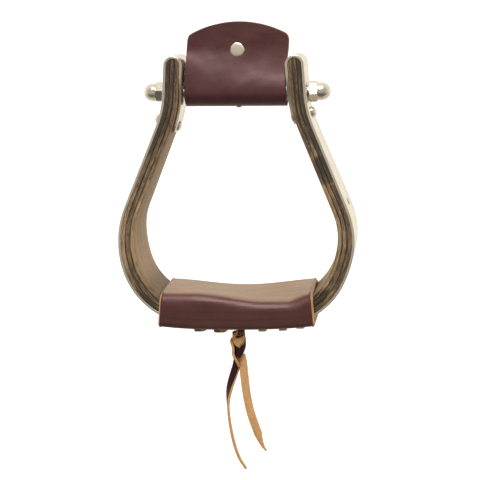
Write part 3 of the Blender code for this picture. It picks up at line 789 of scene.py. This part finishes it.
def make_bolt_cover():
    bend, under = cover_line()
    columns = 56
    shares = [1 - 2 * k / columns for k in range(columns + 1)]
    shares = [sin(s * pi / 2) * 0.35 + s * 0.65 for s in shares]
    flap_rows = 16
    flap_start = 0.06  # about half the wrap's length
    rows, along = [], []

    def column_x(share, z):
        narrow = 0.5 * MM * (smooth_step(z, 0, 12 * MM) - smooth_step(z, 20 * MM, 30 * MM))
        return share * (COVER_HALF - narrow) + FLAP_SHIFT * smooth_step(z, 12 * MM, FLAP_SHOULDER_Z)

    def add_row(points, distance):
        rows.append(points)
        along.extend((p.x, distance, 0.0) for p in points)

    def flap(side, order):
        for k in order:
            part = k / flap_rows
            row = []
            for share in shares:
                top = flap_top(share * FLAP_HALF)
                z = FLAP_JOIN_Z + (top - FLAP_JOIN_Z) * part
                sway = 0.25 * MM * sin(share * 5 + z * 90)
                row.append(Vector((column_x(share, z), side * FLAP_LAYER_Y + sway * part, z)))
            add_row(row, side * (flap_start + part * 0.02))

    flap(-1, range(flap_rows, 0, -1))
    line = bend + under + [Vector((-p.x, p.y)) for p in reversed(bend)]
    for p, distance in zip(line, distances(line)):
        drift = -3.5 * MM * sin(pi * min(1.0, max(0.0, p.y / FLAP_JOIN_Z))) ** 2
        heights = [p.y + drift * share for share in shares]
        row = [Vector((column_x(share, z), p.x, z)) for share, z in zip(shares, heights)]
        add_row(row, distance - flap_start)
    flap(1, range(1, flap_rows + 1))
    obj = leather_sheet("bolt_cover", rows, along, COVER_LEATHER,
                        [LOOKS["cover"], LOOKS["cover_edge"], LOOKS["flesh"]])
    length = 2 * (FLAP_TOP_Z - FLAP_JOIN_Z) + distances(line)[-1]
    place(obj, "bolt_cover", "bolt_cover_leather")


def make_cover_rivet():
    """A flat rivet, a little out of round, and the base behind it."""
    low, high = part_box("cover_rivet_cap")
    centre = Vector(((low.x + high.x) / 2, 0, (low.z + high.z) / 2))

    def worn(size):
        def radius(angle):
            return size * (1 + 0.025 * sin(3 * angle + 0.6) + 0.012 * sin(7 * angle))
        return radius

    face = 3.1 * MM
    # The rim's shares of the radius and heights in millimetres.
    rim = ((0.97, 0), (1, 0.3), (0.985, 0.75), (0.93, 1.05), (0.8, 1.2), (0.5, 1.27))
    for name, side, size, node in (("cover_rivet_front", -1, 5.0 * MM, "cover_rivet_cap"),
                                   ("cover_rivet_back", 1, 4.5 * MM, "cover_rivet_post")):
        profile = [(1.9 * MM, face - 2.9 * MM), (1.9 * MM, face)]
        profile += [(worn(size * share), face + rise * MM) for share, rise in rim]
        profile.append((0.2 * MM, face + 1.3 * MM))
        obj = turned(name, profile, centre, (0, side, 0), 48, LOOKS["flat_rivet"], smooth_angle=50)
        place(obj, "bolt_cover", node)


def make_tack():
    low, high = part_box("cover_tack")
    base = -COVER_RADIUS - COVER_LEATHER / 2
    profile = head_profile(TACK_RADIUS, TACK_HEIGHT, base + SEAT, -1, 6)[::-1]
    profile += [(0.8 * MM, base), (0.8 * MM, base + 2.6 * MM), (0.05 * MM, base + 2.9 * MM)]
    middle = ((low.x + high.x) / 2, 0, 0)
    obj = turned("tack_head", profile, middle, (0, 0, 1), 28, LOOKS["steel"])
    place(obj, "bolt_cover", "cover_tack")


def tread_top(x, y):
    """Height of the tread leather's top face. It dips in the middle, further right in front, and
    rises a little to the right."""
    front = 5.9 * MM * smooth_step(x, -32 * MM, 20 * MM) * (1 - smooth_step(x, 35 * MM, 56 * MM))
    back = 4.5 * MM * max(0.0, cos(pi / 2 * min(1.0, abs(x - 3 * MM) / (58 * MM)))) ** 1.8
    share = smooth_step(y, -26 * MM, 26 * MM)
    flat = -138.9 * MM * (1 - share) + -137.4 * MM * share
    return flat + 0.9 * MM * x / TREAD_REACH - front * (1 - share) - back * share


def tread_bottom(x):
    return TREAD_BOTTOM + 2.7 * MM * abs(x / TREAD_REACH) ** 2.6 + 1.1 * MM * x / TREAD_REACH


def tread_path(x, flare):
    """(y, z) round the tread leather's middle layer at x, from the seam round the front, top and
    back. Towards the cut ends the leather lifts away by flare."""
    half = TREAD_LEATHER / 2 - flare
    side = TREAD_HALF_DEPTH - half
    low = tread_bottom(x) + half
    front_top = tread_top(x, -side) - half
    back_top = tread_top(x, side) - half
    points = []

    def run(a, b, steps):
        for k in range(steps):
            points.append(a.lerp(b, k / steps))

    def corner(centre, start, radius, steps=9):
        for k in range(steps):
            angle = start - pi / 2 * k / steps
            points.append(centre + Vector((cos(angle), sin(angle))) * radius)

    foot, brow = 2.2 * MM, TREAD_BROW
    run(Vector((SEAM_Y - 0.5 * MM, low)), Vector((foot - side, low)), 6)
    corner(Vector((foot - side, low + foot)), 1.5 * pi, foot)
    run(Vector((-side, low + foot)), Vector((-side, front_top - brow)), 12)
    corner(Vector((brow - side, front_top - brow)), pi, brow)
    steps = 24
    for k in range(steps):
        y = (brow - side) + 2 * (side - brow) * k / steps
        points.append(Vector((y, tread_top(x, y) - half)))
    corner(Vector((side - brow, back_top - brow)), pi / 2, brow)
    run(Vector((side, back_top - brow)), Vector((side, low + foot)), 12)
    corner(Vector((side - foot, low + foot)), 0.0, foot)
    run(Vector((side - foot, low)), Vector((SEAM_Y + 0.5 * MM, low)), 14)
    points.append(Vector((SEAM_Y + 0.5 * MM, low)))
    return points


def make_tread():
    """The tread's sleeve, in rows along the tread that are closer at its lips."""
    middle = TREAD_HALF - TREAD_LIP
    middle_rows, lip_rows = 68, 6
    inner = [-middle + 2 * middle * k / middle_rows for k in range(middle_rows + 1)]
    tips = [TREAD_HALF - TREAD_LIP * (1 - k / lip_rows) for k in range(1, lip_rows + 1)]
    rows, along = [], []
    girth = 0.0
    for x0 in [-t for t in reversed(tips)] + inner + tips:
        share = x0 / TREAD_HALF
        edge = max(0.0, (abs(x0) - TREAD_HALF + TREAD_LIP) / TREAD_LIP)
        path = tread_path(x0, 0.75 * MM * edge**2)
        top = max(p.y for p in path)
        bottom = min(p.y for p in path)
        row = []
        for p, distance in zip(path, distances(path)):
            down = (top - p.y) / (top - bottom)
            x = x0 + (2.1 * share - 0.1) * MM * down
            wave = noise.noise(Vector((x * 45, p.x * 25, p.y * 45 + 7))) * 0.35 * MM
            bulge = 0.5 * MM * sin(pi * down) ** 2 * (1 if abs(p.x) > 20 * MM else 0)
            y = p.x + ((bulge + wave * sin(pi * down)) * (1 if p.x > 0 else -1)
                       * (abs(p.x) / (25 * MM)) ** 8)
            row.append(Vector((x, y, p.y)))
            along.append((x, distance, 0.0))
        girth = max(girth, distance)
        rows.append(row)
    obj = leather_sheet("tread_sleeve", rows, along, TREAD_LEATHER,
                        [LOOKS["tread"], LOOKS["tread_edge"], LOOKS["flesh"]])
    place(obj, "bow", "tread_cover_leather")


# ---- thongs


def thong_section(centre, out, side, width, distance, thickness=THONG):
    """A ring round a thong, and its material coordinates."""
    ring, along = [], []
    for depth, across in rounded_box(-thickness / 2, thickness / 2, width / 2, THONG_ROUND, 2):
        ring.append(centre - out * depth + side * across)
        along.append((distance, across, depth))
    return ring, along


def thong_mesh(name, sections, grain, joined=False):
    """A thong's mesh, with its grain side, cut edges and flesh side in their own looks."""
    rings, along = zip(*sections)
    per_corner = 3

    def pick(k):
        return {per_corner - 1: 0, 3 * per_corner - 1: 2}.get(k, 1)

    return add_mesh(name, skin(rings, joined=joined, pick=pick),
                    [LOOKS[grain], LOOKS["thong_edge"], LOOKS["thong_flesh"]], smooth_angle=50,
                    along=[spot for part in along for spot in part])


def ribbon(name, centres, normals, widths, thickness=THONG, grain="thong_grain"):
    """A flat thong along centres. Its grain side faces along normals, its other side is flesh."""
    sections = []
    places = zip(centres, normals, widths, distances(centres))
    for k, (centre, normal, width, distance) in enumerate(places):
        tangent = (centres[min(k + 1, len(centres) - 1)] - centres[max(k - 1, 0)]).normalized()
        out = (normal - tangent * normal.dot(tangent)).normalized()
        side = tangent.cross(out)
        sections.append(thong_section(centre, out, side, width, distance, thickness))
    return thong_mesh(name, sections, grain)


def smooth_route(points, step=1.2 * MM):
    """Close points on a Catmull-Rom curve through the points of a route."""
    points = [Vector(p) * MM for p in points]
    ends = [points[0] * 2 - points[1]] + points + [points[-1] * 2 - points[-2]]
    fine = []
    for a, b, c, d in zip(ends, ends[1:], ends[2:], ends[3:]):
        for k in range(16):
            t = k / 16
            fine.append(0.5 * (2 * b + (c - a) * t + (2 * a - 5 * b + 4 * c - d) * t * t
                               + (3 * b - a - 3 * c + d) * t**3))
    fine.append(points[-1])
    even = [fine[0]]
    for point in fine[1:-1]:
        if (point - even[-1]).length >= step:
            even.append(point)
    return even + [fine[-1]]


def make_tail(name, node, route, facing, full_to, tip):
    """A free end of the thong. It is full width to the share full_to, and cut to a point of width
    tip. facing gives the grain side's bearing by share."""
    centres = smooth_route(route)
    count = len(centres)
    widths, normals = [], []
    for k in range(count):
        share = k / (count - 1)
        past = max(0.0, (share - full_to) / (1 - full_to))
        widths.append(THONG_WIDTH + (tip - THONG_WIDTH) * past**0.8)
        normals.append(level(facing(share)))
    obj = ribbon(name, centres, normals, widths)
    place(obj, "lace_tassel", node)
    length = distances(centres)[-1]


def collar(name, middle, reach, lower, upper, grain_out):
    """A turn of the thong round the knot. lower and upper are its edges' heights in front, at the
    left and at the right, in millimetres. In front both edges dip to a point."""
    sections = []
    count = 64
    wide, deep = reach

    def height(edge, angle):
        front, left, right = edge
        share = min(1.0, abs(2 * angle / pi))
        return (front + ((right if angle > 0 else left) - front) * share) * MM

    for k in range(count):
        angle = 2 * pi * k / count - pi
        out = Vector((sin(angle) / wide, -cos(angle) / deep, 0)).normalized()
        if not grain_out:
            out = -out
        low, high = height(lower, angle), height(upper, angle)
        centre = Vector((middle + sin(angle) * wide, SEAM_Y - cos(angle) * deep, (low + high) / 2))
        sections.append(thong_section(centre, out, Vector((0, 0, 1)), high - low, angle * wide))
    return thong_mesh(name, sections, "thong_grain", joined=True)


def strand(name, stations, width=THONG_WIDTH, thickness=THONG, grain="thong_grain"):
    """A stretch of thong through (x, y, z, bearing of the grain side in degrees) stations."""
    centres = smooth_route([station[:3] for station in stations], 0.6 * MM)
    marks = distances([Vector(station[:3]) for station in stations])
    normals = []
    runs = distances(centres)
    for run in runs:
        at = run / runs[-1] * marks[-1]
        upper = next((n for n in range(1, len(marks)) if marks[n] >= at), len(marks) - 1)
        share = (at - marks[upper - 1]) / (marks[upper] - marks[upper - 1])
        before, after = stations[upper - 1][3], stations[upper][3]
        normals.append(level(radians(before + (after - before) * share)))
    return ribbon(name, centres, normals, [width] * len(centres), thickness, grain)


def make_knot():
    """An overhand knot: a pale turn over a dark one, a strand on edge down their left, one over
    their top, and a turn and a dark filler that hardly show. The filler is painted shade that makes
    the gaps between the turns read as shadow."""
    down = ((-2.6, -10.6, -174.6, 60), (-4.7, -12.6, -175.6, 78), (-4.7, -13.8, -177.6, 80),
            (-3.5, -15.0, -181.0, 82), (-3.6, -15.2, -184.6, 84), (-3.0, -15.0, -187.6, 90),
            (-1.7, -14.5, -190.0, 96), (-0.6, -13.6, -192.6, 96), (0.2, -12.6, -195.0, 96))
    pieces = [
        collar("knot_turn_pale", 0.1 * MM, (3.7 * MM, 3.6 * MM), (-180.3, -175.6, -173.6),
               (-173.6, -169.6, -170.9), False),
        collar("knot_turn_dark", 0.9 * MM, (3.4 * MM, 3.0 * MM), (-189.4, -184.0, -180.2),
               (-180.2, -176.3, -173.9), True),
        collar("knot_turn_hidden", 0.7 * MM, (3.2 * MM, 2.6 * MM), (-176.0, -174.0, -174.0),
               (-171.6, -170.3, -169.5), True),
        strand("knot_strand_left", down, 2.6 * MM, 2.0 * MM),
    ]
    for piece in pieces:
        place(piece, "lace_tassel", "lace_knot")
    # Painted shade: a dark turned filler inside the knot, so that the gaps between the turns read
    # as shadow.
    shade_filler = [(radius * MM, z * MM) for radius, z in ((0.8, -170.4), (2.2, -171.2), (2.8, -176),
                                                    (2.6, -182), (1.8, -185), (0.6, -187))]
    middle = (0.6 * MM, SEAM_Y, 0)
    obj = turned("knot_shade_filler", shade_filler, middle, (0, 0, 1), 24, LOOKS["thong_grain"])
    place(obj, "lace_tassel", "lace_knot")
    over = ((0.9, -13.0, -166.4, 90), (0.2, -15.8, -169.0, 84), (-1.6, -16.9, -171.2, 80),
            (-3.0, -16.4, -173.2, 70))
    across_joint(strand("knot_strand_top", over, 2.4 * MM, 1.7 * MM))


def across_joint(obj, *nodes):
    """For a bit of thong where the tassel swings under the tread: bakes its placement into its mesh
    and hides the named parts.
    """
    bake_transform(obj)
    if nodes:
        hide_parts(*nodes)


def make_stitches():
    """Each stitch crosses the seam under the tread, and its ends turn up into the leather. They sag
    unevenly, and the two on the left lie askew."""
    for number, stitch in enumerate(STITCHES, 1):
        x, sag, skew = (value * MM for value in stitch)
        z = tread_bottom(x) - THONG / 2 - 0.1 * MM
        half_steps = 12
        centres, normals = [], []
        for k in range(2 * half_steps + 1):
            share = -1 + k / half_steps
            lift = 2.6 * MM * max(0.0, (abs(share) - 0.8) / 0.2) ** 1.5
            low = sag * cos(share * pi / 2) ** 0.6
            y = SEAM_Y + share * STITCH_REACH
            centres.append(Vector((x + skew * share, y, z - low + lift)))
            normals.append(Vector((0.05, 0.25 * share, -1)))
        grain = "stitch_grain" if x < 0 else "flesh"
        widths = [STITCH_WIDTH] * len(centres)
        obj = ribbon(f"stitch_{number}", centres, normals, widths, grain=grain)
        place(obj, "bow", f"lace_stitch_{number}")
    stations = ((2.4, -13.0, -164.4, 4), (2.5, -15.4, -166.6, 4), (2.3, -16.7, -168.6, 4),
                (2.0, -17.0, -170.1, 4))
    obj = strand("seam_loop", stations, width=5.4 * MM, grain="stitch_grain")
    across_joint(obj, "lace_loop")


# ---- stage and light


def make_stage():
    """A white floor below the lowest point, which curves up all round into a closed white room."""
    floor_z = cad_box[0][2] - 15 * MM
    look = Look("stage_white", Roughness=0.9)
    look.finish(Base_Color=(0.3, 0.3, 0.3, 1), Emission_Color=(1, 1, 1, 1), Emission_Strength=1.0)
    reach = 4.0
    bend = 1.5
    profile = [(0.01, 0.0), (reach - bend, 0.0)]
    for k in range(1, 9):
        angle = k * pi / 16
        profile.append((reach - bend + bend * sin(angle), bend * (1 - cos(angle))))
    profile += [(reach, 3.0), (0.01, 3.5)]
    room = turned("white_room", profile, (0, 0, floor_z), (0, 0, 1), 48, look.material,
                  smooth_angle=80)
    room.visible_diffuse = room.visible_glossy = room.visible_shadow = False


def make_world():
    """Soft surroundings: bright all round, dimmer in front, and darkest low in front."""
    world = bpy.data.worlds.new("soft_room")
    bpy.context.scene.world = world
    nodes = Nodes(world)
    _, back, up = nodes.split(nodes.add("TexCoord"))
    behind = nodes.ease(back, -0.75, 0.35, 0.46, 1.0)
    high = nodes.ease(up, -0.62, -0.12, 0.26, 1.0)
    away = nodes.ease(back, -0.7, -0.1, 0.0, 0.72)
    strength = nodes.math("MULTIPLY", behind, nodes.math("MAXIMUM", high, away))
    nodes.set(nodes.tree.nodes["Background"], {0: (1.0, 0.94, 0.84, 1), 1: strength})


def add_area(name, location, target, size, energy, mirrored=True):
    """An area light. One that isn't mirrored leaves no shape of its own in the metal."""
    light = bpy.data.lights.new(name, "AREA")
    light.shape = "RECTANGLE"
    light.size, light.size_y = size
    light.energy = energy
    lamp = add_object(name, light)
    lamp.visible_glossy = mirrored
    lamp.location = location
    direction = Vector(target) - Vector(location)
    lamp.rotation_euler = direction.to_track_quat("-Z", "Y").to_euler()


def make_lights():
    middle = (0, 0, -0.08)
    add_area("key_above", (0.0, -0.75, 0.95), middle, (0.55, 0.5), 13.0)
    add_area("side_left", (-1.1, -0.35, 0.25), middle, (0.9, 1.1), 3.5, mirrored=False)
    add_area("side_right", (1.1, 0.2, 0.3), middle, (0.9, 1.2), 5.5, mirrored=False)


def make_camera():
    azimuth, elevation = CAMERA_AZIMUTH, CAMERA_ELEVATION
    back = Vector((sin(azimuth) * cos(elevation), -cos(azimuth) * cos(elevation), sin(elevation)))
    side = Vector((cos(azimuth), sin(azimuth), 0))
    up = back.cross(side)
    right = side * cos(CAMERA_ROLL) + up * sin(CAMERA_ROLL)
    top = up * cos(CAMERA_ROLL) - side * sin(CAMERA_ROLL)
    data = bpy.data.cameras.new("camera")
    data.lens = CAMERA_LENS
    data.sensor_width = CAMERA_SENSOR
    camera = add_object("camera", data)
    rotation = Matrix((right, top, back)).transposed().to_4x4()
    camera.matrix_world = Matrix.Translation(CAMERA_TARGET + back * CAMERA_DISTANCE) @ rotation
    bpy.context.scene.camera = camera


# ---- build

make_camera()


def left_facing(share):
    return radians(-15) - radians(68) * smooth_step(share, 0.08, 0.5)


def right_facing(share):
    return radians(180) + radians(8) * sin(share * 3)


make_tail("tail_left", "lace_tail_left", TAIL_LEFT, left_facing, 0.85, 2.0 * MM)
make_tail("tail_right", "lace_tail_right", TAIL_RIGHT, right_facing, 0.79, 0.9 * MM)
make_knot()
make_stitches()
for index, layer in enumerate(("outer", "middle", "inner")):
    make_ply(index, layer)
make_binding()
for side, name in ((-1, "left"), (1, "right")):
    make_nut(side, name)
    make_leg_rivet(side, name)
    make_nail(side, name)
make_bolt_cover()
make_cover_rivet()
make_tack()
make_tread()
for node in ("stirrup_bolt", "spacer_tube"):
    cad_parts[node].data.materials.clear()
    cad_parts[node].data.materials.append(LOOKS["steel"])
make_stage()
make_world()
make_lights()
bpy.context.scene.view_settings.view_transform = "Standard"
